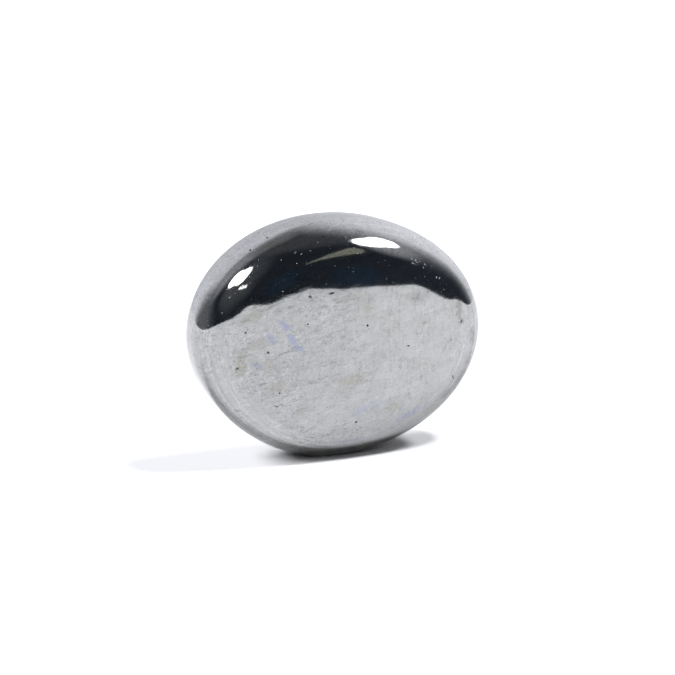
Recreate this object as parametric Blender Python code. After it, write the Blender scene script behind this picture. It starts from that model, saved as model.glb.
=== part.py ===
"""A tumbled and polished hematite palm stone, standing on its edge on a small flat spot.

The stone is one solid lens: an oval outline in the XZ plane, two gently domed faces along Y, and a
rounded rim between them. +X is the long way, +Y runs from the front face to the back one, +Z is up.
"""

import math

import bmesh
import bpy

# Driving dimensions, in metres
HALF_LENGTH = 0.02125
HALF_HEIGHT = 0.01694
HALF_THICKNESS = 0.00648
REST_CUT = 0.0003

# Fullness of the curves: 2 is an ellipse, more is fuller and squarer
OUTLINE_FULLNESS = 1.972
RIM_FULLNESS = 2.02
FACE_FULLNESS = 3.24

# Slow waves that make the outline a tumbled pebble's: waves a turn, cosine share and sine share of the radius
OUTLINE_WAVES = (
    (2, 0.0, -0.0245),
    (3, 0.0093, 0.0080),
    (4, 0.0, -0.0053),
)

# Squares along each side of the cube that is blown up into the pebble
SQUARES = 24
HALVINGS = 30

STONE_COLOUR = (0.285, 0.290, 0.305, 1.0)
STONE_ROUGHNESS = 0.12
STONE_METALLIC = 1.0


def clear_scene():
    for old in list(bpy.data.objects):
        bpy.data.objects.remove(old, do_unlink=True)


def outline_radius(angle):
    """Distance from the centre to the outline, at an angle from +X towards +Z."""
    across = abs(math.cos(angle)) / HALF_LENGTH
    upward = abs(math.sin(angle)) / HALF_HEIGHT
    oval = (across**OUTLINE_FULLNESS + upward**OUTLINE_FULLNESS) ** (-1 / OUTLINE_FULLNESS)
    waves = sum(
        along * math.cos(count * angle) + sideways * math.sin(count * angle)
        for count, along, sideways in OUTLINE_WAVES
    )
    return oval * (1 + waves)


def stretch_to_lens(out, deep):
    """How far a direction with shares out and deep goes before it meets the lens's unit section."""
    low, high = 0.0, 2.0
    for _ in range(HALVINGS):
        middle = (low + high) / 2
        if (middle * out) ** RIM_FULLNESS + (middle * deep) ** FACE_FULLNESS < 1:
            low = middle
        else:
            high = middle
    return (low + high) / 2


def on_pebble(place):
    """The pebble's surface point in the direction of a point of the cube from -1 to 1."""
    x, y, z = (math.tan(value * math.pi / 4) for value in place)
    length = math.sqrt(x * x + y * y + z * z)
    x, y, z = x / length, y / length, z / length
    out = math.hypot(x, z)
    stretch = stretch_to_lens(out, abs(y))
    radius = outline_radius(math.atan2(z, x)) * stretch
    return (radius * x, HALF_THICKNESS * stretch * y, radius * z)


def cut_rest_spot(mesh):
    """Grinds the small flat spot off the lowest part of the rim."""
    level = min(corner.co.z for corner in mesh.verts) + REST_CUT
    everything = mesh.verts[:] + mesh.edges[:] + mesh.faces[:]
    cut = bmesh.ops.bisect_plane(
        mesh, geom=everything, dist=1e-7, plane_co=(0, 0, level), plane_no=(0, 0, -1), clear_outer=True
    )
    rim = [piece for piece in cut["geom_cut"] if isinstance(piece, bmesh.types.BMEdge)]
    bmesh.ops.contextual_create(mesh, geom=rim)


def stand_on_origin(mesh):
    """Moves the pebble until the centre of its box's base is at the origin."""
    sides = [[corner.co[axis] for corner in mesh.verts] for axis in range(3)]
    middle_x = (min(sides[0]) + max(sides[0])) / 2
    middle_y = (min(sides[1]) + max(sides[1])) / 2
    bmesh.ops.translate(mesh, verts=mesh.verts, vec=(-middle_x, -middle_y, -min(sides[2])))


def stone_material():
    material = bpy.data.materials.new("polished_hematite")
    material.use_nodes = True
    shader = material.node_tree.nodes["Principled BSDF"]
    shader.inputs["Base Color"].default_value = STONE_COLOUR
    shader.inputs["Roughness"].default_value = STONE_ROUGHNESS
    shader.inputs["Metallic"].default_value = STONE_METALLIC
    return material


def make_stone():
    mesh = bmesh.new()
    bmesh.ops.create_cube(mesh, size=2)
    bmesh.ops.subdivide_edges(mesh, edges=mesh.edges[:], cuts=SQUARES - 1, use_grid_fill=True)
    for corner in mesh.verts:
        corner.co = on_pebble(corner.co)
    cut_rest_spot(mesh)
    stand_on_origin(mesh)
    bmesh.ops.recalc_face_normals(mesh, faces=mesh.faces)
    data = bpy.data.meshes.new("hematite_stone")
    mesh.to_mesh(data)
    mesh.free()
    data.shade_smooth()
    data.set_sharp_from_angle(angle=math.radians(20))
    data.materials.append(stone_material())
    stone = bpy.data.objects.new("hematite_stone", data)
    bpy.context.collection.objects.link(stone)


clear_scene()
make_stone()
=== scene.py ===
# %% [markdown]
# # A mirror-polished hematite pebble
#
# Hematite is iron oxide, and a tumbled piece of it is as bright as gun metal: almost all that the eye
# sees on it is the room, bent by its curves. So this lesson spends its effort on three things. They
# are the pebble's true curve, the fine marks that polishing leaves, and the studio it mirrors.

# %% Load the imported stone
import math
import random

import bmesh
import bpy
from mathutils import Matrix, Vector, kdtree, noise


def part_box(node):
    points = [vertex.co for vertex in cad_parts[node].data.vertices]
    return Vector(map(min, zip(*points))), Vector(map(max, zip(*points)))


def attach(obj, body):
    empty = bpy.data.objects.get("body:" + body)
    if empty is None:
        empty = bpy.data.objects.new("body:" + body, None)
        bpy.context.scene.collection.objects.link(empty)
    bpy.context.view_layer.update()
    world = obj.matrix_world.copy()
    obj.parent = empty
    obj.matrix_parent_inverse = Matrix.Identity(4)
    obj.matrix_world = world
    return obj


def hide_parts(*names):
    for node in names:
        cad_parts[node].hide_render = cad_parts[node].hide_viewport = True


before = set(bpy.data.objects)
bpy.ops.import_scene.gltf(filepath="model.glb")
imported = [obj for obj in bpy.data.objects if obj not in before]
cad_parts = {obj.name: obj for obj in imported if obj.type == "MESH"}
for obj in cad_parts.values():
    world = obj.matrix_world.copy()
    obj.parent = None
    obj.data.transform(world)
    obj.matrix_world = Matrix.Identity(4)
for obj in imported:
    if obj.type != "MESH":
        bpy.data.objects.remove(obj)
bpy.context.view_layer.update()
STONE_NODE = "hematite_stone"
stone_low, stone_high = (Vector(corner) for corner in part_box(STONE_NODE))
print("the packed stone's box, in mm:", [round(1000 * side, 2) for side in stone_high - stone_low])

# %% [markdown]
# The stone is a lens. Seen from the front its outline is an oval that tumbling left a little uneven.
# Cut through, it is a soft rectangle: broad faces, gently domed, that turn quickly into the rim. The
# sizes below are the ones that the solid model was made from, so the fine surface lies on the solid.

# %% The stone's sizes
MM = 0.001
HALF_LENGTH = 21.25 * MM
HALF_HEIGHT = 16.94 * MM
HALF_THICKNESS = 6.48 * MM
REST_CUT = 0.3 * MM
OUTLINE_FULLNESS = 1.972
RIM_FULLNESS = 2.02
FACE_FULLNESS = 3.24
OUTLINE_WAVES = (
    (2, 0.0, -0.0245),
    (3, 0.0093, 0.0080),
    (4, 0.0, -0.0053),
)
SLIDES = 16
OUTLINE_STEPS = 720


def outline_at(angle):
    """Distance from the lens's middle to its outline, at an angle from +X towards +Z."""
    across = abs(math.cos(angle)) / HALF_LENGTH
    upward = abs(math.sin(angle)) / HALF_HEIGHT
    oval = (across**OUTLINE_FULLNESS + upward**OUTLINE_FULLNESS) ** (-1 / OUTLINE_FULLNESS)
    return oval * (1 + sum(a * math.cos(n * angle) + s * math.sin(n * angle) for n, a, s in OUTLINE_WAVES))


def lens_centre():
    """Where the lens's middle lies once the stone stands with its box's base on the origin."""
    angles = [2 * math.pi * step / OUTLINE_STEPS for step in range(OUTLINE_STEPS)]
    ends = [outline_at(angle) * math.cos(angle) for angle in angles]
    lowest = min(outline_at(angle) * math.sin(angle) for angle in angles)
    return Vector((-(min(ends) + max(ends)) / 2, 0, -lowest - REST_CUT))


centre = lens_centre()
print("the lens's middle, in mm:", [round(1000 * side, 2) for side in centre])

# %% [markdown]
# Pits are small cavities that the polish never reached. Each is sharp-edged, a few tenths of a
# millimetre long, and about a quarter as deep as it is wide. In the bright face they mirror the dark
# room and look black; in the dark band they mirror the floor and look like white dust. A seeded
# scatter alone could make them, but the eye knows the large ones by their place, so those that the
# photo shows are listed. Scuffs are crowds of tiny ones, where the stone was knocked, and everything
# but the front face gets the scatter. Each pit is kept as a direction from the lens's middle.

# %% Where the pits are
# Along and up from the middle of the front face, half length, half width, in mm, and turn in degrees
PLACED_PITS = (
    (-5.9, 7.1, 0.20, 0.17, 0),
    (-2.8, 7.3, 0.42, 0.13, 12),
    (-15.0, 2.8, 0.17, 0.14, 60),
    (-12.0, -0.1, 0.19, 0.17, 0),
    (-16.1, -2.1, 0.20, 0.14, 30),
    (-10.3, -6.0, 0.15, 0.12, 0),
    (-10.6, -7.9, 0.42, 0.06, -16),
    (-6.4, 3.4, 0.13, 0.09, 0),
    (2.3, 2.4, 0.17, 0.14, 40),
    (8.5, -1.2, 0.24, 0.13, 0),
    (1.1, -11.4, 0.22, 0.12, 8),
    (16.2, -6.9, 0.48, 0.10, -64),
    (17.2, 1.0, 0.22, 0.13, 80),
    (-7.5, 13.0, 0.16, 0.09, 35),
    (-6.7, 12.8, 0.12, 0.06, 60),
    (-5.4, 13.1, 0.07, 0.06, 0),
    (-9.6, 12.2, 0.07, 0.05, 0),
    (-7.5, 11.6, 0.06, 0.06, 0),
    (-17.9, 5.5, 0.08, 0.07, 0),
    (-16.8, 7.6, 0.07, 0.06, 0),
    (-4.1, 14.1, 0.06, 0.05, 0),
    (-9.7, 8.0, 0.07, 0.06, 0),
)
# Along and up, half width of the crowd in mm, and how many
SCUFFS = (
    (10.2, 10.3, 0.7, 7),
    (11.8, 9.4, 0.5, 4),
    (14.0, 7.8, 0.8, 3),
    (15.7, -7.3, 0.5, 4),
)
SCUFF_PIT_SIZES = (0.04, 0.09)
SCUFF_PIT_FLATNESS = (0.5, 0.9)
SCATTERED_PITS = 60
SMALLEST_PIT = 0.06 * MM
LARGEST_TO_SMALLEST = 3.2
PIT_FLATNESS = (0.5, 1)
PIT_SEED = 11
# The front face has only the pits that the photo shows
FRONT_EDGE = -0.45


def direction_to(along, up):
    """The ball's direction that becomes a place of the front face."""
    angle = math.atan2(up, along)
    out = math.hypot(along, up) * MM / outline_at(angle)
    deep = (1 - out**RIM_FULLNESS) ** (1 / FACE_FULLNESS)
    return Vector((out * math.cos(angle), -deep, out * math.sin(angle))).normalized()


chance = random.Random(PIT_SEED)
pits = []
for along, up, half_long, half_wide, turn in PLACED_PITS:
    pits.append((direction_to(along, up), half_long * MM, half_wide * MM, math.radians(turn)))
for along, up, spread, count in SCUFFS:
    for _ in range(count):
        aside = chance.uniform(-spread, spread)
        above = chance.uniform(-spread, spread) / 2
        size = chance.uniform(*SCUFF_PIT_SIZES) * MM
        flatness = chance.uniform(*SCUFF_PIT_FLATNESS)
        turn = chance.uniform(0, math.pi)
        pits.append((direction_to(along + aside, up + above), size, size * flatness, turn))
for _ in range(SCATTERED_PITS):
    direction = Vector([chance.gauss(0, 1) for axis in range(3)]).normalized()
    size = SMALLEST_PIT * LARGEST_TO_SMALLEST ** chance.random()
    flatness = chance.uniform(*PIT_FLATNESS)
    turn = chance.uniform(0, math.pi)
    if direction.y > FRONT_EDGE:
        pits.append((direction, size, size * flatness, turn))
print("pits:", len(pits))

# %% [markdown]
# The surface starts as a cube cut into small squares. A cube's squares have no pole, where a globe's
# would crowd together and pinch the reflection. Around each pit the squares are cut again and again,
# so that a hole of a tenth of a millimetre has a shape while the calm parts stay light.

# %% The cube's grid
SQUARES = 92
FINER_CUTS = 3
# How far round a pit the squares are cut: a share of its half length, and a margin that halves each time
CUT_REACH = 1.15
CUT_MARGIN = 0.42 * MM


def lens_point(direction):
    """Slides a direction of the ball in or out until it meets the lens."""
    out, deep, reach = math.hypot(direction.x, direction.z), abs(direction.y), 1.0
    for _ in range(SLIDES):
        reach *= ((reach * out) ** RIM_FULLNESS + (reach * deep) ** FACE_FULLNESS) ** (-1 / FACE_FULLNESS)
    radius = outline_at(math.atan2(direction.z, direction.x)) * reach
    return Vector((radius * direction.x, HALF_THICKNESS * reach * direction.y, radius * direction.z))


def ball_direction(place):
    return Vector([math.tan(side * math.pi / 4) for side in place]).normalized()


def cut_cube():
    grid = bmesh.new()
    bmesh.ops.create_cube(grid, size=2)
    bmesh.ops.subdivide_edges(grid, edges=grid.edges[:], cuts=SQUARES - 1, use_grid_fill=True)
    for level in range(FINER_CUTS):
        grid.verts.ensure_lookup_table()
        finder = kdtree.KDTree(len(grid.verts))
        for corner in grid.verts:
            finder.insert(lens_point(ball_direction(corner.co)), corner.index)
        finder.balance()
        near = set()
        for direction, half_long, _, _ in pits:
            reach = CUT_REACH * half_long + CUT_MARGIN / 2**level
            near.update(index for _, index, _ in finder.find_range(lens_point(direction), reach))
        edges = [edge for edge in grid.edges if all(corner.index in near for corner in edge.verts)]
        bmesh.ops.subdivide_edges(grid, edges=edges, cuts=1, use_grid_fill=True)
        grid.verts.index_update()
    mesh = bpy.data.meshes.new("cube_grid")
    grid.to_mesh(mesh)
    grid.free()
    return mesh


cube_grid = cut_cube()
print("the grid's points:", len(cube_grid.vertices), "and faces:", len(cube_grid.polygons))

# %% [markdown]
# Both the shape and the finish are made by node trees. Wired link by link, trees of this length would
# be hard to read, so a few helpers write them like sums. A value handed to them is either a plain
# number, which is written on the socket, or another node's output, which is linked to it.

# %% Helpers that wire nodes
# Noise rarely strays far from 0.5, so it is spread by this
NOISE_GAIN = 2.6


def plug(tree, value, socket):
    if isinstance(value, bpy.types.NodeSocket):
        tree.links.new(value, socket)
    else:
        socket.default_value = value


def calc(tree, operation, *values):
    node = tree.nodes.new("ShaderNodeMath")
    node.operation = operation
    for value, socket in zip(values, node.inputs):
        plug(tree, value, socket)
    return node.outputs[0]


def calc_vector(tree, operation, *values, scale=None):
    node = tree.nodes.new("ShaderNodeVectorMath")
    node.operation = operation
    for value, socket in zip(values, node.inputs):
        plug(tree, value, socket)
    if scale is not None:
        plug(tree, scale, node.inputs["Scale"])
    return node.outputs["Value" if operation in ("LENGTH", "DOT_PRODUCT", "DISTANCE") else "Vector"]


def parts_of(tree, vector):
    node = tree.nodes.new("ShaderNodeSeparateXYZ")
    plug(tree, vector, node.inputs[0])
    return node.outputs["X"], node.outputs["Y"], node.outputs["Z"]


def vector_of(tree, x, y, z):
    node = tree.nodes.new("ShaderNodeCombineXYZ")
    for value, socket in zip((x, y, z), node.inputs):
        plug(tree, value, socket)
    return node.outputs[0]


def total(tree, *values):
    """Adds up any number of values."""
    result = values[0]
    for value in values[1:]:
        result = calc(tree, "ADD", result, value)
    return result


def ramp(tree, value, low, high):
    """0 up to one value, 1 from another, and smooth between them."""
    node = tree.nodes.new("ShaderNodeMapRange")
    node.interpolation_type = "SMOOTHSTEP"
    for name, given in (("Value", value), ("From Min", low), ("From Max", high)):
        plug(tree, given, node.inputs[name])
    return node.outputs[0]


def cloud(tree, place, spacing, detail=1.0, swirl=0.0):
    """Soft noise around 0, from about -1 to 1, with its lumps a given spacing apart."""
    node = tree.nodes.new("ShaderNodeTexNoise")
    node.inputs["Detail"].default_value = detail
    node.inputs["Distortion"].default_value = swirl
    plug(tree, place, node.inputs["Vector"])
    plug(tree, calc(tree, "DIVIDE", 1, spacing), node.inputs["Scale"])
    return calc(tree, "MULTIPLY", calc(tree, "SUBTRACT", node.outputs[0], 0.5), NOISE_GAIN)


# %% [markdown]
# A shape that follows a rule is best made by Geometry Nodes. The grid is blown up into a ball, and
# every point of the ball slides along its own direction until it meets the lens. The lens's section
# is written on the points as an angle, 0 at the rim and a quarter turn in the middle of a face.


# %% The rule for the lens
def place_of(tree):
    return tree.nodes.new("GeometryNodeInputPosition").outputs[0]


def moved(tree, shape, place):
    node = tree.nodes.new("GeometryNodeSetPosition")
    plug(tree, shape, node.inputs["Geometry"])
    plug(tree, place, node.inputs["Position"])
    return node.outputs["Geometry"]


def kept_as(tree, shape, name, value):
    """Stores a value on the points, for the finish to read."""
    node = tree.nodes.new("GeometryNodeStoreNamedAttribute")
    plug(tree, shape, node.inputs["Geometry"])
    node.inputs["Name"].default_value = name
    plug(tree, value, node.inputs["Value"])
    return node.outputs["Geometry"]


def ball_from_grid(tree, grid):
    turned = calc_vector(tree, "SCALE", place_of(tree), scale=math.pi / 4)
    return moved(tree, grid, calc_vector(tree, "NORMALIZE", calc_vector(tree, "TANGENT", turned)))


def out_from_axis(tree):
    """Distance from the axis through the two faces."""
    x, _, z = parts_of(tree, place_of(tree))
    return calc_vector(tree, "LENGTH", vector_of(tree, x, 0, z))


def lens_from_ball(tree, ball, rim_fullness, face_fullness):
    """Slides each point in or out, pass by pass, until out^rim + deep^face is 1."""
    start = tree.nodes.new("GeometryNodeRepeatInput")
    end = tree.nodes.new("GeometryNodeRepeatOutput")
    start.pair_with_output(end)
    start.inputs["Iterations"].default_value = SLIDES
    plug(tree, ball, start.inputs["Geometry"])
    _, deep, _ = parts_of(tree, place_of(tree))
    out_part = calc(tree, "POWER", out_from_axis(tree), rim_fullness)
    deep_part = calc(tree, "POWER", calc(tree, "ABSOLUTE", deep), face_fullness)
    slide = calc(tree, "POWER", total(tree, out_part, deep_part), calc(tree, "DIVIDE", -1, face_fullness))
    slid = moved(tree, start.outputs["Geometry"], calc_vector(tree, "SCALE", place_of(tree), scale=slide))
    plug(tree, slid, end.inputs["Geometry"])
    return end.outputs["Geometry"]


def outline_radius(tree, angle, half_length, half_height, fullness):
    across = calc(tree, "DIVIDE", calc(tree, "ABSOLUTE", calc(tree, "COSINE", angle)), half_length)
    upward = calc(tree, "DIVIDE", calc(tree, "ABSOLUTE", calc(tree, "SINE", angle)), half_height)
    powers = total(tree, calc(tree, "POWER", across, fullness), calc(tree, "POWER", upward, fullness))
    oval = calc(tree, "POWER", powers, calc(tree, "DIVIDE", -1, fullness))
    waves = 1
    for count, along, sideways in OUTLINE_WAVES:
        turned = calc(tree, "MULTIPLY", angle, count)
        waves = total(
            tree,
            waves,
            calc(tree, "MULTIPLY", calc(tree, "COSINE", turned), along),
            calc(tree, "MULTIPLY", calc(tree, "SINE", turned), sideways),
        )
    return calc(tree, "MULTIPLY", oval, waves)


# %% [markdown]
# No hand-held stone is a perfect lens. The wheel leaves slow ripples, a few hundredths of a
# millimetre high and many millimetres across, and here and there a flatter patch. They can't be seen
# as shape, but a mirror doubles every tilt, so they are what bends the line where the mirrored
# floor ends. A bump map could tilt the mirror too, but then the exported shape would lose them, so
# they move the points. Each patch is a soft bump or hollow: its place on the face, and its height.

# %% Ripples and flatter patches
RIPPLE_SPACING = 9 * MM
RIPPLE_HEIGHT = 0.012 * MM
PATCH_WIDTH = 1.7 * MM
# Place along X and Z from the middle of the face, and height outwards, in mm
WHEEL_PATCHES = (
    (-20.0, 4.4, -0.035),
    (-17.2, 3.3, 0.010),
    (-14.4, 7.7, 0.051),
    (-13.0, 5.2, 0.007),
    (-8.8, 6.2, -0.026),
    (-6.0, 6.9, -0.046),
    (-3.2, 6.7, -0.023),
    (-1.8, 9.0, 0.008),
    (1.0, 6.4, -0.017),
    (3.8, 8.8, 0.025),
    (6.6, 6.2, -0.023),
    (8.0, 6.1, -0.013),
    (9.4, 6.0, -0.034),
    (10.8, 5.6, -0.030),
    (12.2, 4.8, -0.020),
    (15.0, 5.7, -0.029),
    (17.8, 4.6, -0.023),
    (19.2, 1.7, 0.061),
)
FACE_STARTS, FACE_IS_FULL = 0.5 * MM, 3.5 * MM


def rippled(tree, shape):
    height = calc(tree, "MULTIPLY", cloud(tree, place_of(tree), RIPPLE_SPACING, 0.0), RIPPLE_HEIGHT)
    normal = tree.nodes.new("GeometryNodeInputNormal").outputs[0]
    lift = calc_vector(tree, "SCALE", normal, scale=height)
    return moved(tree, shape, calc_vector(tree, "ADD", place_of(tree), lift))


def patched(tree, shape):
    x, y, z = parts_of(tree, place_of(tree))
    lift = 0
    for along, up, height in WHEEL_PATCHES:
        away = calc_vector(tree, "DISTANCE", vector_of(tree, x, 0, z), (along * MM, 0, up * MM))
        share = calc(tree, "DIVIDE", away, PATCH_WIDTH)
        bell = calc(tree, "EXPONENT", calc(tree, "MULTIPLY", calc(tree, "MULTIPLY", share, share), -1))
        lift = calc(tree, "MULTIPLY_ADD", bell, height * MM, lift)
    on_front = ramp(tree, calc(tree, "MULTIPLY", y, -1), FACE_STARTS, FACE_IS_FULL)
    lift = calc(tree, "MULTIPLY", lift, on_front)
    return moved(tree, shape, vector_of(tree, x, calc(tree, "SUBTRACT", y, lift), z))


# %% [markdown]
# The stone stands on its edge because tumbling wore a small flat spot there. A Boolean could cut it
# off, but would leave ragged faces. Instead the tree finds the lowest point, lifts all points within
# the cut above it to one level, and stands the stone on the origin.


# %% The flat spot and the whole tree
def stood_on_spot(tree, shape, cut):
    box = tree.nodes.new("GeometryNodeBoundBox")
    plug(tree, shape, box.inputs[0])
    _, _, lowest = parts_of(tree, box.outputs["Min"])
    level = calc(tree, "ADD", lowest, cut)
    x, y, z = parts_of(tree, place_of(tree))
    ground = moved(tree, shape, vector_of(tree, x, y, calc(tree, "MAXIMUM", z, level)))
    ends = calc_vector(tree, "ADD", box.outputs["Min"], box.outputs["Max"])
    middle_x, middle_y, _ = parts_of(tree, calc_vector(tree, "SCALE", ends, scale=0.5))
    stand = tree.nodes.new("GeometryNodeTransform")
    plug(tree, ground, stand.inputs["Geometry"])
    shift = calc_vector(tree, "SCALE", vector_of(tree, middle_x, middle_y, level), scale=-1)
    plug(tree, shift, stand.inputs["Translation"])
    return stand.outputs["Geometry"]


def pebble_tree():
    tree = bpy.data.node_groups.new("tumbled_pebble", "GeometryNodeTree")
    for name, kind in (
        ("Grid", "NodeSocketGeometry"),
        ("Half Length", "NodeSocketFloat"),
        ("Half Height", "NodeSocketFloat"),
        ("Half Thickness", "NodeSocketFloat"),
        ("Outline Fullness", "NodeSocketFloat"),
        ("Rim Fullness", "NodeSocketFloat"),
        ("Face Fullness", "NodeSocketFloat"),
        ("Rest Cut", "NodeSocketFloat"),
        ("Finish", "NodeSocketMaterial"),
    ):
        tree.interface.new_socket(name, in_out="INPUT", socket_type=kind)
    tree.interface.new_socket("Stone", in_out="OUTPUT", socket_type="NodeSocketGeometry")
    given = tree.nodes.new("NodeGroupInput").outputs
    shape = ball_from_grid(tree, given["Grid"])
    shape = lens_from_ball(tree, shape, given["Rim Fullness"], given["Face Fullness"])
    x, y, z = parts_of(tree, place_of(tree))
    shape = kept_as(tree, shape, "section", calc(tree, "ARCTAN2", y, out_from_axis(tree)))
    angle = calc(tree, "ARCTAN2", z, x)
    radius = outline_radius(
        tree, angle, given["Half Length"], given["Half Height"], given["Outline Fullness"]
    )
    grown = vector_of(
        tree,
        calc(tree, "MULTIPLY", x, radius),
        calc(tree, "MULTIPLY", y, given["Half Thickness"]),
        calc(tree, "MULTIPLY", z, radius),
    )
    shape = patched(tree, rippled(tree, moved(tree, shape, grown)))
    shape = stood_on_spot(tree, shape, given["Rest Cut"])
    finish = tree.nodes.new("GeometryNodeSetMaterial")
    plug(tree, shape, finish.inputs["Geometry"])
    plug(tree, given["Finish"], finish.inputs["Material"])
    real = tree.nodes.new("GeometryNodeRealizeInstances")
    plug(tree, finish.outputs[0], real.inputs[0])
    plug(tree, real.outputs[0], tree.nodes.new("NodeGroupOutput").inputs["Stone"])
    return tree


# %% [markdown]
# The tree is run once on the grid and its result kept as a plain mesh. It could stay a live modifier,
# but the pits are pressed into finished points next. The inputs are set by each socket's identifier,
# before the object is first looked at.


# %% Run the tree
def run_tree(tree, name, start, values):
    holder = bpy.data.objects.new(name + "_maker", start)
    bpy.context.collection.objects.link(holder)
    modifier = holder.modifiers.new("maker", "NODES")
    modifier.node_group = tree
    for item in tree.interface.items_tree:
        if item.in_out == "INPUT" and item.name in values:
            modifier[item.identifier] = values[item.name]
    graph = bpy.context.evaluated_depsgraph_get()
    mesh = bpy.data.meshes.new_from_object(
        holder.evaluated_get(graph), preserve_all_data_layers=True, depsgraph=graph
    )
    mesh.name = name
    bpy.data.objects.remove(holder, do_unlink=True)
    piece = bpy.data.objects.new(name, mesh)
    bpy.context.collection.objects.link(piece)
    return piece


hematite = bpy.data.materials.new("polished_hematite_finish")
hematite.use_nodes = True
stone = run_tree(
    pebble_tree(),
    "polished_stone",
    cube_grid,
    {
        "Half Length": HALF_LENGTH,
        "Half Height": HALF_HEIGHT,
        "Half Thickness": HALF_THICKNESS,
        "Outline Fullness": OUTLINE_FULLNESS,
        "Rim Fullness": RIM_FULLNESS,
        "Face Fullness": FACE_FULLNESS,
        "Rest Cut": REST_CUT,
        "Finish": hematite,
    },
)
stone.data.shade_smooth()
low = Vector([min(corner.co[axis] for corner in stone.data.vertices) for axis in range(3)])
high = Vector([max(corner.co[axis] for corner in stone.data.vertices) for axis in range(3)])
print("the fine stone's box, in mm:", [round(1000 * side, 2) for side in high - low])

# %% [markdown]
# Each pit is pressed into the finished surface along its own normal. Its outline is an oval made
# uneven by noise, its wall is steep and its floor round. A dark dot in the finish would stay dark
# everywhere, while a hollow mirrors the floor in the dark band and the dark room below it. The points
# inside it are marked, so that the finish can be dull where the wheel never touched it, and much
# darker there as painted shade in the hollow.

# %% Press the pits in
# Depth as a share of the half width, and how steep the wall is: the lower, the steeper
PIT_DEPTH_SHARE = 0.55
PIT_WALL = 0.6
# How uneven the outline is, and the size of its bays in half widths
PIT_UNEVENNESS = 0.35
PIT_BAYS = 0.8
# How far out points are looked for, in half lengths, and how fast the mark grows inwards
PIT_SEARCH = 1.4
PIT_MARK_GAIN = 3
# Past this, a normal lies too near the X axis for it to serve as the direction of a turn of 0
NEAR_AXIS = 0.8


def press_pits(mesh):
    marks = mesh.attributes.new("pit", "FLOAT", "POINT")
    finder = kdtree.KDTree(len(mesh.vertices))
    for corner in mesh.vertices:
        finder.insert(corner.co, corner.index)
    finder.balance()
    normals = [corner.normal.copy() for corner in mesh.vertices]
    pressed = 0
    for direction, half_long, half_wide, turn in pits:
        middle, index, _ = finder.find(lens_point(direction) + centre)
        outward = normals[index]
        along = Vector((1, 0, 0)) if abs(outward.x) < NEAR_AXIS else Vector((0, 1, 0))
        along = (along - outward * along.dot(outward)).normalized()
        across = outward.cross(along)
        for place, corner, _ in finder.find_range(middle, PIT_SEARCH * half_long):
            away = place - middle
            u, v = away.dot(along), away.dot(across)
            u, v = u * math.cos(turn) + v * math.sin(turn), v * math.cos(turn) - u * math.sin(turn)
            share = math.hypot(u / half_long, v / half_wide)
            share *= 1 + PIT_UNEVENNESS * noise.noise(place / (PIT_BAYS * half_wide))
            if share < 1:
                deep = PIT_DEPTH_SHARE * half_wide * (1 - share * share) ** PIT_WALL
                mesh.vertices[corner].co -= outward * deep
                marks.data[corner].value = min(1.0, PIT_MARK_GAIN * (1 - share))
                pressed += 1
    return pressed


print("points pressed in:", press_pits(stone.data))

# %% [markdown]
# The camera stands a little to the stone's left, so that the left rim shows, and looks slightly down.
# It could be found by eye, but the oval's slant and the width of the left rim settle its turn and its
# height. A long lens keeps the oval free of perspective.

# %% The camera
CAMERA_TURN = math.radians(23.41)
CAMERA_HEIGHT = math.radians(14.57)
CAMERA_DISTANCE = 450 * MM
CAMERA_SENSOR = 36.0
CAMERA_LENS = 174.92
AIM_RIGHT = 0.588 * MM
AIM_UP = -0.600 * MM
SEEN_FROM = 10 * MM
SEEN_UP_TO = 50.0


def pointed(turn, height):
    """The direction of something in the studio, with turn counted to the camera's right."""
    right, towards = math.sin(turn) * math.cos(height), math.cos(turn) * math.cos(height)
    return Vector(
        (
            right * math.cos(CAMERA_TURN) - towards * math.sin(CAMERA_TURN),
            -right * math.sin(CAMERA_TURN) - towards * math.cos(CAMERA_TURN),
            math.sin(height),
        )
    )


back = pointed(0, CAMERA_HEIGHT)
rightward = Vector((math.cos(CAMERA_TURN), -math.sin(CAMERA_TURN), 0))
upward = back.cross(rightward)
camera_data = bpy.data.cameras.new("camera")
camera_data.lens = CAMERA_LENS
camera_data.sensor_width = CAMERA_SENSOR
camera_data.clip_start = SEEN_FROM
camera_data.clip_end = SEEN_UP_TO
camera = bpy.data.objects.new("camera", camera_data)
bpy.context.collection.objects.link(camera)
camera.location = centre + back * CAMERA_DISTANCE + rightward * AIM_RIGHT + upward * AIM_UP
camera.rotation_euler = back.to_track_quat("Z", "Y").to_euler()
bpy.context.scene.camera = camera
print("the camera stands at, in mm:", [round(1000 * side, 1) for side in camera.location])

# %% [markdown]
# The finish. Polished hematite mirrors about a third of the light, and nearly all of it at a glancing
# angle, which is how a metal shader behaves. On top of that lie the marks of the wheel. An image could
# carry them, but it would have to be unwrapped over a stone with no seams, so noise draws them in
# the stone's own space. Each kind of mark is a small group of nodes that takes a place on the stone,
# in mm, and gives back a strength.

# %% Groups for the marks
# A place apart from the first, where the same noise has other lumps
GAPS_APART = (7.3, 2.9, 5.1)
GAP_SPACING = 1.7
GAPS_FULL = 0.5
FRAY_SPACING = 0.55
# Where a patch starts to fade and where it is gone, in half sizes
PATCH_FADES, PATCH_ENDS = 0.30, 1.20
# How far in front of the lens's middle a patch starts to show and where it is full, in mm
PATCH_STARTS, PATCH_IS_FULL = -1.0, -2.5
FLECK_SWIRL = 1.8
FLECK_IS_FULL = 0.80


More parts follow.
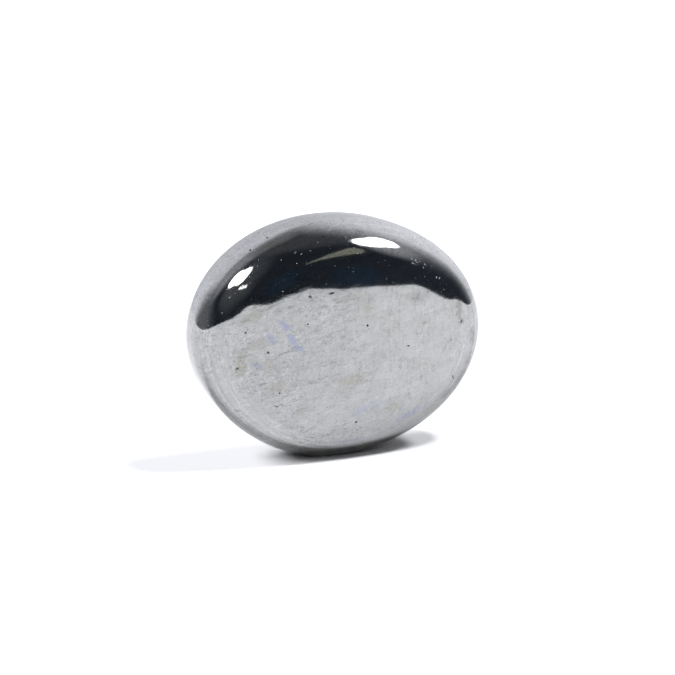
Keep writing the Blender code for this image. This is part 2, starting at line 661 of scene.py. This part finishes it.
def mark_group(name, *inputs):
    """Starts a group that takes a place and some numbers, and gives one strength."""
    tree = bpy.data.node_groups.new(name, "ShaderNodeTree")
    tree.interface.new_socket("Place", in_out="INPUT", socket_type="NodeSocketVector")
    for number in inputs:
        tree.interface.new_socket(number, in_out="INPUT", socket_type="NodeSocketFloat")
    tree.interface.new_socket("Strength", in_out="OUTPUT", socket_type="NodeSocketFloat")
    return tree, tree.nodes.new("NodeGroupInput").outputs


def given_back(tree, strength):
    plug(tree, strength, tree.nodes.new("NodeGroupOutput").inputs["Strength"])


def mark(tree, group, place, **numbers):
    """Uses a group of marks in the finish."""
    node = tree.nodes.new("ShaderNodeGroup")
    node.node_tree = group
    plug(tree, place, node.inputs["Place"])
    for name, value in numbers.items():
        plug(tree, value, node.inputs[name])
    return node.outputs["Strength"]


def turned_about_y(tree, place, turn):
    node = tree.nodes.new("ShaderNodeVectorRotate")
    node.rotation_type = "Y_AXIS"
    plug(tree, place, node.inputs["Vector"])
    plug(tree, turn, node.inputs["Angle"])
    return node.outputs[0]


def hairline_group():
    """Fine scratches that run one way, each a thin line where stretched noise crosses its middle."""
    tree, given = mark_group("hairlines", "Turn", "Length", "Spacing", "Width", "Gaps")
    x, y, z = parts_of(tree, turned_about_y(tree, given["Place"], given["Turn"]))
    stretched = vector_of(
        tree,
        calc(tree, "DIVIDE", x, given["Length"]),
        calc(tree, "DIVIDE", y, given["Length"]),
        calc(tree, "DIVIDE", z, given["Spacing"]),
    )
    crossing = calc(tree, "ABSOLUTE", cloud(tree, stretched, 1, 1.0))
    line = calc(tree, "SUBTRACT", 1, ramp(tree, crossing, 0, given["Width"]))
    gap_place = calc_vector(tree, "ADD", stretched, GAPS_APART)
    kept = ramp(tree, cloud(tree, gap_place, GAP_SPACING, 1.0), given["Gaps"], GAPS_FULL)
    given_back(tree, calc(tree, "MULTIPLY", line, kept))
    return tree


def patch_group():
    """One soft oval with a frayed edge, on the front face."""
    tree, given = mark_group("soft_patch", "Along", "Up", "Half Length", "Half Width", "Turn", "Fray")
    x, y, z = parts_of(tree, given["Place"])
    aside = calc(tree, "SUBTRACT", x, given["Along"])
    above = calc(tree, "SUBTRACT", z, given["Up"])
    away = vector_of(tree, aside, 0, above)
    across, _, upward = parts_of(tree, turned_about_y(tree, away, given["Turn"]))
    oval = vector_of(
        tree,
        calc(tree, "DIVIDE", across, given["Half Length"]),
        0,
        calc(tree, "DIVIDE", upward, given["Half Width"]),
    )
    frayed = calc(tree, "MULTIPLY", cloud(tree, given["Place"], FRAY_SPACING, 3.0), given["Fray"])
    edge = total(tree, calc_vector(tree, "LENGTH", oval), frayed)
    inside = calc(tree, "SUBTRACT", 1, ramp(tree, edge, PATCH_FADES, PATCH_ENDS))
    on_front = ramp(tree, y, PATCH_STARTS, PATCH_IS_FULL)
    given_back(tree, calc(tree, "MULTIPLY", inside, on_front))
    return tree


def streak_group():
    """Soft streaks that all run one way, much longer than they are wide."""
    tree, given = mark_group("soft_streaks", "Length", "Spacing")
    x, y, z = parts_of(tree, given["Place"])
    place = vector_of(
        tree,
        calc(tree, "DIVIDE", x, given["Length"]),
        calc(tree, "DIVIDE", y, given["Length"]),
        calc(tree, "DIVIDE", z, given["Spacing"]),
    )
    given_back(tree, cloud(tree, place, 1, 2.0))
    return tree


def fleck_group():
    """Small hooked flecks, where swirling noise is at its highest."""
    tree, given = mark_group("flecks", "Spacing", "Rarity")
    swirls = cloud(tree, given["Place"], given["Spacing"], 2.0, FLECK_SWIRL)
    given_back(tree, ramp(tree, swirls, given["Rarity"], FLECK_IS_FULL))
    return tree


def dust_group():
    """Round specks of dust, some of them brighter than others."""
    tree, given = mark_group("dust", "Spacing", "Radius", "Rarity")
    node = tree.nodes.new("ShaderNodeTexVoronoi")
    plug(tree, given["Place"], node.inputs["Vector"])
    plug(tree, calc(tree, "DIVIDE", 1, given["Spacing"]), node.inputs["Scale"])
    speck = calc(tree, "SUBTRACT", 1, ramp(tree, node.outputs["Distance"], 0, given["Radius"]))
    chance, _, _ = parts_of(tree, node.outputs["Color"])
    given_back(tree, calc(tree, "MULTIPLY", speck, ramp(tree, chance, given["Rarity"], 1)))
    return tree


hairlines = hairline_group()
soft_patch = patch_group()
soft_streaks = streak_group()
flecks = fleck_group()
dust = dust_group()
print("groups of marks:", [group.name for group in (hairlines, soft_patch, soft_streaks, flecks, dust)])

# %% [markdown]
# The patches that the eye can place. Bluish smears are thin films left by the polish. Brownish tints
# are iron oxide that shows through. Dark smudges lie mostly along the right-hand edge, where the wheel
# left it rough, and a haze lies round each scuff. Noise alone would put them anywhere, so each is
# listed with its place, and only its frayed edge is left to noise.

# %% Where the patches are
# Along and up from the middle of the face, half length, half width, in mm, turn in degrees, strength
SMEARS = (
    (-9.7, 3.45, 1.35, 0.50, -43, 0.65),
    (-11.6, 1.9, 1.15, 0.48, -54, 0.55),
    (-8.6, 1.4, 1.15, 0.66, -58, 0.65),
    (-7.6, 0.1, 0.95, 0.50, -46, 0.65),
    (-13.4, -1.95, 1.0, 0.42, -28, 0.45),
    (2.0, -9.5, 2.3, 0.60, 30, 0.33),
    (4.0, -9.3, 1.4, 0.45, 24, 0.30),
    (9.4, -11.3, 3.4, 0.55, 23, 0.50),
    (0.6, -14.2, 2.6, 0.32, 3, 0.35),
)
RUST_TINTS = (
    (-15.6, -1.5, 2.2, 1.0, 86, 1.20),
    (-16.1, -2.2, 0.5, 0.35, 60, 1.60),
    (-10.6, -5.2, 1.9, 1.2, 10, 0.90),
    (-14.0, 4.9, 2.4, 1.2, 25, 0.80),
    (-13.6, 1.0, 1.6, 0.9, 0, 0.55),
    (-12.5, -2.0, 2.4, 1.2, -10, 0.45),
    (0.4, -5.2, 3.2, 1.1, 8, 0.75),
    (6.6, -9.9, 2.0, 1.2, 25, 0.70),
    (1.0, 6.3, 3.6, 0.9, 0, 0.60),
    (9.5, 5.6, 2.6, 0.9, -8, 0.60),
    (10.5, 2.0, 1.8, 1.4, 0, 0.45),
    (3.0, 3.4, 1.6, 1.2, 20, 0.50),
    (9.5, -4.0, 2.0, 1.0, 15, 0.45),
    (-6.8, -8.9, 1.6, 1.0, 0, 0.45),
    (16.9, 2.6, 2.1, 0.60, 86, 0.70),
    (16.4, 3.4, 0.9, 0.50, 60, 0.60),
)
DARK_SMUDGES = (
    (16.9, 2.8, 1.5, 0.60, 90, 1.1),
    (17.2, 1.1, 0.60, 0.50, 10, 1.4),
    (19.3, -1.7, 2.0, 0.50, 88, 1.1),
    (19.0, -4.6, 1.6, 0.55, 72, 0.8),
    (17.6, -7.4, 1.6, 0.60, 54, 0.8),
    (15.1, -9.6, 1.5, 0.60, 42, 0.8),
    (-16.1, -2.2, 0.5, 0.35, 60, 0.8),
)
SCUFF_HAZES = (
    (10.3, 10.0, 1.5, 0.7, 20, 1.0),
    (12.4, 9.0, 1.8, 0.6, 35, 0.8),
    (14.8, 7.3, 1.6, 0.5, 40, 0.8),
    (14.7, -6.7, 1.2, 0.8, -50, 1.0),
    (-4.6, 13.4, 2.6, 0.6, 10, 0.6),
)
EDGE_FRAY, HAZE_FRAY = 0.7, 0.6


def patches(tree, place, listed, fray):
    """The strongest of several soft patches at each place."""
    strongest = 0
    for along, up, long, wide, turn, strength in listed:
        numbers = {"Along": along, "Up": up, "Half Length": long, "Half Width": wide}
        share = mark(tree, soft_patch, place, **numbers, Turn=math.radians(turn), Fray=fray)
        strongest = calc(tree, "MAXIMUM", strongest, calc(tree, "MULTIPLY", share, strength))
    return strongest


finish = hematite.node_tree
stone_place = finish.nodes.new("ShaderNodeTexCoord").outputs["Object"]
spot = calc_vector(finish, "SUBTRACT", stone_place, tuple(centre))
spot = calc_vector(finish, "SCALE", spot, scale=1 / MM)
smears = patches(finish, spot, SMEARS, EDGE_FRAY)
rust = patches(finish, spot, RUST_TINTS, EDGE_FRAY)
scuffs = patches(finish, spot, SCUFF_HAZES, HAZE_FRAY)
smudges = patches(finish, spot, DARK_SMUDGES, EDGE_FRAY)
print("smears:", len(SMEARS), "rust tints:", len(RUST_TINTS), "smudges:", len(DARK_SMUDGES))

# %% [markdown]
# The wheel did not touch all of the stone alike. Its scratches run nearly level on the left of the
# face and nearly upright on the right, and curved streaks follow the shoulder, most of all below. One
# pattern could cover the stone, but would look like cloth. So masks say where each kind is strong,
# and a place unrolled along the outline lets the streaks bend with it.

# %% Where each kind of mark is strong
# How far the second pattern lies from the first, in mm, so that their lumps don't meet
APART = (31.0, 17.0, 53.0)
# From where to where the marks change from left to right, in mm, and how frayed that border is
LEFT_ENDS, RIGHT_STARTS = -9, 13
BORDER_SPACING, BORDER_FRAY = 9.0, 5
# The shoulder's section angles, and how much of the streaks is left above
SHOULDER_IS_FULL, SHOULDER_ENDS = 0.58, 0.86
STREAKS_THIN, STREAKS_FULL = 9, 1
STREAKS_ABOVE = 0.45
# How worn the face is, how much less on the right, and how much it varies
WEAR, WEAR_TO_RIGHT = 1.25, -0.45
WEAR_SPACING, WEAR_SPREAD = 4.0, 0.5
# The radius round the outline and that of the shoulder, in mm
ROUND_REACH, SHOULDER_REACH = 18, 11


def attribute(tree, name):
    node = tree.nodes.new("ShaderNodeAttribute")
    node.attribute_name = name
    return node.outputs["Fac"]


elsewhere = calc_vector(finish, "ADD", spot, APART)
x, y, z = parts_of(finish, spot)
section = attribute(finish, "section")
border = calc(finish, "MULTIPLY", cloud(finish, spot, BORDER_SPACING), BORDER_FRAY)
to_right = ramp(finish, total(finish, x, border), LEFT_ENDS, RIGHT_STARTS)
face = ramp(finish, calc(finish, "ABSOLUTE", section), SHOULDER_IS_FULL, SHOULDER_ENDS)
shoulder = calc(finish, "SUBTRACT", 1, face)
from_below = ramp(finish, z, STREAKS_THIN, STREAKS_FULL)
streak_share = calc(finish, "MULTIPLY_ADD", from_below, 1 - STREAKS_ABOVE, STREAKS_ABOVE)
streaked = calc(finish, "MULTIPLY", shoulder, streak_share)
less_worn = calc(finish, "MULTIPLY", to_right, WEAR_TO_RIGHT)
wear_spots = calc(finish, "MULTIPLY", cloud(finish, spot, WEAR_SPACING), WEAR_SPREAD)
worn = total(finish, WEAR, less_worn, wear_spots)
round_x, _, round_z = parts_of(finish, calc_vector(finish, "NORMALIZE", vector_of(finish, x, 0, z)))
unrolled = vector_of(
    finish,
    calc(finish, "MULTIPLY", round_x, ROUND_REACH),
    calc(finish, "MULTIPLY", round_z, ROUND_REACH),
    calc(finish, "MULTIPLY", section, SHOULDER_REACH),
)
print("the marks turn from level to upright between, in mm:", LEFT_ENDS, RIGHT_STARTS)

# %% [markdown]
# Now each kind of mark is placed with its own direction, length and spacing: fine scratches, short
# dark nicks, streaks, hooked flecks, grain and specks of dust. They could be drawn one by one, but
# there are thousands, and the eye only reads their direction and their density. Scratches are few
# and thin, so that the mirror stays a mirror.

# %% The marks
# Lengths and spacings are in mm, turns in radians. First come those of the grain and larger clouds
GRAIN_SPACINGS = (0.17, 0.36, 1.1, 5.0)
DRAWN_TURN = 0.32
# How much of each kind of scratch is left on the other side
LEVEL_REACH, UPRIGHT_REACH = 1.1, 0.2
FINE_DUST = 0.30
# How strong the dust is away from the scuffs, and how much stronger on them
DUST_ALL_OVER, DUST_ON_SCUFFS = 0.45, 0.7
level_lines = mark(finish, hairlines, spot, Turn=0.20, Length=1.7, Spacing=0.34, Width=0.28, Gaps=-0.20)
slanted_lines = mark(finish, hairlines, elsewhere, Turn=0.55, Length=2.8, Spacing=0.50, Width=0.14, Gaps=0.0)
nicks = mark(finish, hairlines, elsewhere, Turn=0.06, Length=0.8, Spacing=0.24, Width=0.13, Gaps=0.05)
upright_lines = mark(finish, hairlines, spot, Turn=1.48, Length=1.6, Spacing=0.32, Width=0.28, Gaps=-0.15)
ring_lines = mark(finish, hairlines, unrolled, Turn=0.0, Length=8.0, Spacing=0.38, Width=0.24, Gaps=-0.20)
lines = calc(
    finish,
    "ADD",
    calc(finish, "MULTIPLY", level_lines, calc(finish, "SUBTRACT", LEVEL_REACH, to_right)),
    calc(finish, "MULTIPLY", upright_lines, calc(finish, "ADD", to_right, UPRIGHT_REACH)),
)
lines = calc(finish, "MULTIPLY", lines, face)
ring_lines = calc(finish, "MULTIPLY", ring_lines, streaked)
streaks = mark(finish, soft_streaks, unrolled, Length=10.0, Spacing=0.33)
streaks = calc(finish, "MULTIPLY", streaks, streaked)
drawn = mark(finish, soft_streaks, turned_about_y(finish, spot, DRAWN_TURN), Length=9.0, Spacing=1.1)
drawn = calc(finish, "MULTIPLY", drawn, face)
dark_flecks = mark(finish, flecks, spot, Spacing=0.40, Rarity=0.22)
bright_flecks = mark(finish, flecks, elsewhere, Spacing=0.36, Rarity=0.22)
fine_grain, grain, mottle, drift = (cloud(finish, spot, size, 2.0) for size in GRAIN_SPACINGS)
specks = mark(finish, dust, spot, Spacing=0.50, Radius=0.17, Rarity=0.30)
fine_specks = mark(finish, dust, elsewhere, Spacing=0.28, Radius=0.26, Rarity=0.10)
specks = calc(finish, "MULTIPLY_ADD", fine_specks, FINE_DUST, specks)
dustier = calc(finish, "MULTIPLY_ADD", scuffs, DUST_ON_SCUFFS, DUST_ALL_OVER)
specks = calc(finish, "MULTIPLY", specks, dustier)
print("nodes in the marks:", len(finish.nodes))

# %% [markdown]
# The colour of a metal is the colour of its mirror, so each mark that keeps light back makes it a
# little darker and each that scatters light makes it a little paler. Every mark could have its own
# mix of colours, but here most are summed to one tone that scales the stone's grey, which keeps the
# hue even. The tone also holds painted light: the right of the face is made paler. Only smears, rust,
# pits and dust have a colour of their own and lie on top, and the pits' dark colour is painted shade.

# %% The colour
STONE_COLOUR = (0.300, 0.3015, 0.302)
SMEAR_COLOUR = (0.180, 0.205, 0.305)
RUST_COLOUR = (0.196, 0.187, 0.150)
# Painted shade: the floor of each pit is made much darker, as shade in the hollow
PIT_SHADE_COLOUR = (0.060, 0.050, 0.045)
DUST_COLOUR = (0.62, 0.62, 0.62)
PLAIN_TONE = 0.96
# Between which grain values each is broken up, and how much of it that leaves and adds
SMEAR_GRAIN, SMEAR_LEFT, SMEAR_ADDED = (-0.35, 0.35), 0.6, 0.5
RUST_GRAIN = (-0.45, 0.65)
THIN_RUST_GRAIN, THIN_RUST = (0.1, 1.1), 0.5
# How much each fine mark adds to the tone, scaled by how worn the place is
TEXTURE = (
    (fine_grain, 0.17),
    (grain, 0.15),
    (lines, -0.18),
    (nicks, -0.32),
    (slanted_lines, 0.16),
    (dark_flecks, -0.32),
    (bright_flecks, 0.20),
)
# How much each broad mark adds, and how much paler the right of the face is painted
TONES = (
    (mottle, 0.09),
    (drift, 0.06),
    (drawn, 0.07),
    (streaks, 0.25),
    (ring_lines, 0.26),
    # Painted light: the right of the face is made paler, as the brighter light on that side makes its mirror
    (to_right, 0.11),
    (smudges, -0.26),
    (scuffs, 0.06),
)


def blended(tree, below, share, above):
    node = tree.nodes.new("ShaderNodeMix")
    node.data_type = "RGBA"
    plug(tree, share, node.inputs[0])
    plug(tree, below, node.inputs[6])
    plug(tree, above, node.inputs[7])
    return node.outputs[2]


def summed(tree, start, listed):
    for strength, share in listed:
        start = calc(tree, "MULTIPLY_ADD", strength, share, start)
    return start


shader = finish.nodes["Principled BSDF"]
in_pit = attribute(finish, "pit")
tone = calc(finish, "MULTIPLY_ADD", summed(finish, 0, TEXTURE), worn, summed(finish, PLAIN_TONE, TONES))
colour = calc_vector(finish, "SCALE", STONE_COLOUR, scale=tone)
speckled_rust = calc(finish, "MULTIPLY", rust, ramp(finish, total(finish, grain, fine_grain), *RUST_GRAIN))
thin_rust = calc(finish, "MULTIPLY", ramp(finish, total(finish, drift, grain), *THIN_RUST_GRAIN), THIN_RUST)
colour = blended(finish, colour, calc(finish, "MAXIMUM", speckled_rust, thin_rust), RUST_COLOUR + (1,))
broken = calc(finish, "MULTIPLY_ADD", ramp(finish, grain, *SMEAR_GRAIN), SMEAR_ADDED, SMEAR_LEFT)
smears = calc(finish, "MULTIPLY", smears, broken)
colour = blended(finish, colour, smears, SMEAR_COLOUR + (1,))
# Painted shade inside the pits, laid over the stone's colour
colour = blended(finish, colour, in_pit, PIT_SHADE_COLOUR + (1,))
colour = blended(finish, colour, specks, DUST_COLOUR + (1,))
plug(finish, colour, shader.inputs["Base Color"])
print("marks in the tone:", len(TEXTURE) + len(TONES))

# %% [markdown]
# Gloss and relief. A mirror polish still has a faint haze, and smears, rust, scuffs and dust are
# duller than that. The finest marks are too shallow for the mesh, a few thousandths of a millimetre
# at most, and there a bump is the right tool: it tilts the mirror and leaves the outline alone.

# %% The gloss and the finest relief
POLISH = 0.046
SMOOTHEST = 0.035
DULLING = (
    (mottle, 0.006),
    (lines, 0.03),
    (streaks, 0.012),
    (rust, 0.03),
    (smears, 0.05),
    (scuffs, 0.05),
    (in_pit, 0.35),
    (specks, 1.2),
)
# Heights in mm
SCUFF_RELIEF = 0.003
RELIEF = (
    (lines, -0.0003),
    (slanted_lines, -0.0003),
    (ring_lines, -0.0008),
    (streaks, 0.0020),
    (dark_flecks, -0.0003),
    (grain, 0.0002),
    (mottle, 0.0005),
)
shader.inputs["Metallic"].default_value = 1.0
roughness = calc(finish, "MAXIMUM", summed(finish, POLISH, DULLING), SMOOTHEST)
plug(finish, roughness, shader.inputs["Roughness"])
scuffed = calc(finish, "MULTIPLY", calc(finish, "MULTIPLY", scuffs, fine_grain), SCUFF_RELIEF)
relief = summed(finish, scuffed, RELIEF)
bump = finish.nodes.new("ShaderNodeBump")
bump.inputs["Distance"].default_value = MM
plug(finish, relief, bump.inputs["Height"])
plug(finish, bump.outputs[0], shader.inputs["Normal"])
print("nodes in the finish:", len(finish.nodes))

# %% [markdown]
# The floor is a plain white sheet, so bright that the camera sees it as pure white. It ends a metre
# or so away, and its end is the line across the stone where the pale reflection stops. A sheet that
# curves up behind would hide that line, so this one is a flat disc.

# %% The floor
FLOOR_REACH = 1100 * MM
FLOOR_SIDES = 96
PAPER_COLOUR = (0.86, 0.86, 0.865, 1)
PAPER_ROUGHNESS = 0.9
sheet = bmesh.new()
bmesh.ops.create_circle(sheet, cap_ends=True, segments=FLOOR_SIDES, radius=FLOOR_REACH)
floor_mesh = bpy.data.meshes.new("white_sheet")
sheet.to_mesh(floor_mesh)
sheet.free()
floor = bpy.data.objects.new("white_sheet", floor_mesh)
bpy.context.collection.objects.link(floor)
paper = bpy.data.materials.new("white_paper")
paper.use_nodes = True
paper_shader = paper.node_tree.nodes["Principled BSDF"]
paper_shader.inputs["Base Color"].default_value = PAPER_COLOUR
paper_shader.inputs["Roughness"].default_value = PAPER_ROUGHNESS
paper_shader.inputs["Specular IOR Level"].default_value = 0.0
floor_mesh.materials.append(paper)
print("the floor reaches", FLOOR_REACH, "m")

# %% [markdown]
# The studio. Everything above the floor is painted on the sky around the stone, far away: a dark room
# in front, pale walls at the sides and behind, a tan board that tapers to its tip, and two round
# lamps. Real walls and lamps could be built, but only their direction counts in so small a mirror.
# Each is a soft-edged disc laid over the ones before it: where it is, how wide, how soft its edge,
# and how bright. The stone mirrors all of this sky, but the sheet gets only a little of its light,
# because the soft boxes light the sheet, and a bright sky would wash out the shadow under the stone.

# %% The studio
DARK_ROOM = (0.036, 0.046, 0.060)
NAVY = (0.033, 0.054, 0.086)
# Name, turn and height in degrees, half width and softness of the edge in degrees, and colour
WALLS = (
    ("dim ceiling", 85, 69, 47, 10, (0.125, 0.130, 0.145)),
    ("glow round the left lamp", 1, 23, 12, 24, (0.16, 0.17, 0.19)),
    ("grey left side", -69, 56, 36, 20, (0.62, 0.635, 0.69)),
    ("pale left wall", -128, 32, 48, 22, (1.53, 1.56, 1.68)),
    ("pale back wall", 168, -1, 33, 67, (1.00, 1.02, 1.09)),
    ("white right wall", 123, 36, 29, 58, (1.84, 1.87, 1.98)),
    ("grey overhead", 4, 68, 9, 20, (0.36, 0.36, 0.38)),
    ("low grey on the left", -72, -10, 29, 59, (0.31, 0.32, 0.34)),
    ("low dark on the right", 78, -10, 28, 32, (0.04, 0.05, 0.066)),
    ("navy tint", 32, 7.5, 4, 5, NAVY),
    ("second navy tint", 49, 3.5, 5, 5, NAVY),
)
# The board's turn, height and half width at its tip and at its broad end, in degrees
BOARD_TIP = (38.4, 14.1, 0.25)
BOARD_END = (51.5, 19.1, 2.6)
BOARD_DISCS = 14
BOARD_TAPER = 1.25
BOARD_EDGE = 0.6
BOARD_COLOUR = (0.49, 0.50, 0.42)
LAMP_LIGHT = (12.0, 12.0, 12.3)
SILL_LIGHT = (5.0, 5.0, 5.2)
LAMPS = (
    ("glow round the right lamp", 67, 25, 8.5, 8, (0.62, 0.63, 0.67)),
    ("right lamp", 60.3, 27.4, 4.7, 2, LAMP_LIGHT),
    ("its right half", 66.3, 28.5, 5.3, 2, LAMP_LIGHT),
    ("left lamp", -8.0, 31.5, 6.8, 2, LAMP_LIGHT),
    ("its right half", 1.5, 29.5, 6.3, 2, LAMP_LIGHT),
    ("its sill", 5.5, 18.2, 1.2, 0.8, SILL_LIGHT),
    ("the sill's middle", 8.6, 18.0, 1.4, 0.8, SILL_LIGHT),
    ("the sill's right end", 11.6, 17.7, 1.1, 0.8, SILL_LIGHT),
)
# The share of the sky's light that reaches the sheet
SKY_ON_FLOOR = 0.14
BACKDROP = (1, 1, 1, 1)
world = bpy.data.worlds.new("studio")
bpy.context.scene.world = world
world.use_nodes = True
sky = world.node_tree
sky.nodes.clear()
looking = sky.nodes.new("ShaderNodeTexCoord").outputs["Generated"]


def disc_share(tree, turn, height, width, softness):
    """1 inside a disc of the sky, 0 outside it, with a soft edge."""
    axis = tuple(pointed(math.radians(turn), math.radians(height)))
    outside = math.cos(math.radians(width + softness / 2))
    inside = math.cos(math.radians(max(0, width - softness / 2)))
    return ramp(tree, calc_vector(tree, "DOT_PRODUCT", looking, axis), outside, inside)


def board_discs():
    """The board as a row of overlapping discs, each wider than the last."""
    for index in range(BOARD_DISCS):
        share = index / (BOARD_DISCS - 1)
        shares = (share, share, share**BOARD_TAPER)
        turn, height, width = (a + (b - a) * s for a, b, s in zip(BOARD_TIP, BOARD_END, shares))
        yield "tan board", turn, height, width, BOARD_EDGE, BOARD_COLOUR


studio = WALLS + tuple(board_discs()) + LAMPS
sky_colour = DARK_ROOM + (1,)
for name, turn, height, width, softness, colour in studio:
    sky_colour = blended(sky, sky_colour, disc_share(sky, turn, height, width, softness), colour + (1,))

# The stone's mirror gets the full sky, everything else only the share for the sheet
light_path = sky.nodes.new("ShaderNodeLightPath").outputs
lit = sky.nodes.new("ShaderNodeBackground")
plug(sky, sky_colour, lit.inputs["Color"])
off_paper = calc(sky, "MINIMUM", light_path["Diffuse Depth"], 1)
mirrored = calc(sky, "MULTIPLY", light_path["Is Glossy Ray"], calc(sky, "SUBTRACT", 1, off_paper))
plug(sky, calc(sky, "MULTIPLY_ADD", mirrored, 1 - SKY_ON_FLOOR, SKY_ON_FLOOR), lit.inputs["Strength"])
seen = sky.nodes.new("ShaderNodeBackground")
seen.inputs["Color"].default_value = BACKDROP
chosen = sky.nodes.new("ShaderNodeMixShader")
plug(sky, light_path["Is Camera Ray"], chosen.inputs[0])
plug(sky, lit.outputs[0], chosen.inputs[1])
plug(sky, seen.outputs[0], chosen.inputs[2])
plug(sky, chosen.outputs[0], sky.nodes.new("ShaderNodeOutputWorld").inputs["Surface"])
print("parts of the studio:", len(studio))

# %% [markdown]
# Soft boxes light the sheet: a broad one on the left, and two smaller ones, low and high, on the right,
# which draw the long pale shadow to the left. Point lamps would draw hard shadows, so each is a wide
# disc. They stand three metres off, so that the sheet is lit evenly to its far edge, and are kept out
# of the mirror. All leave a dark core where the stone meets the sheet.

# %% The soft boxes
BOX_DISTANCE = 3.0
BOX_COLOUR = (0.98, 0.99, 1.02)
# Name, turn and height in degrees, width in metres, and watts
SOFT_BOXES = (
    ("left_box", -71.7, 42, 1.55, 126),
    ("right_box", 107.7, 47.7, 0.54, 56),
    ("high_box", 88.9, 66.2, 0.42, 54),
)
for name, turn, height, width, watts in SOFT_BOXES:
    box_data = bpy.data.lights.new(name, "AREA")
    box_data.shape = "DISK"
    box_data.size = width
    box_data.energy = watts
    box_data.color = BOX_COLOUR
    box = bpy.data.objects.new(name, box_data)
    bpy.context.collection.objects.link(box)
    box.location = pointed(math.radians(turn), math.radians(height)) * BOX_DISTANCE
    box.rotation_euler = box.location.to_track_quat("Z", "Y").to_euler()
    box.visible_glossy = False
bpy.context.scene.view_settings.view_transform = "Standard"
bpy.context.scene.view_settings.look = "None"
print("soft boxes:", len(SOFT_BOXES))

# %% [markdown]
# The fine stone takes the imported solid's place, rides on its one body, and gets its finish's slot.
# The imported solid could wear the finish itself, but its faces are too coarse for a mirror.

# %% Finish
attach(stone, "root")
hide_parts(STONE_NODE)
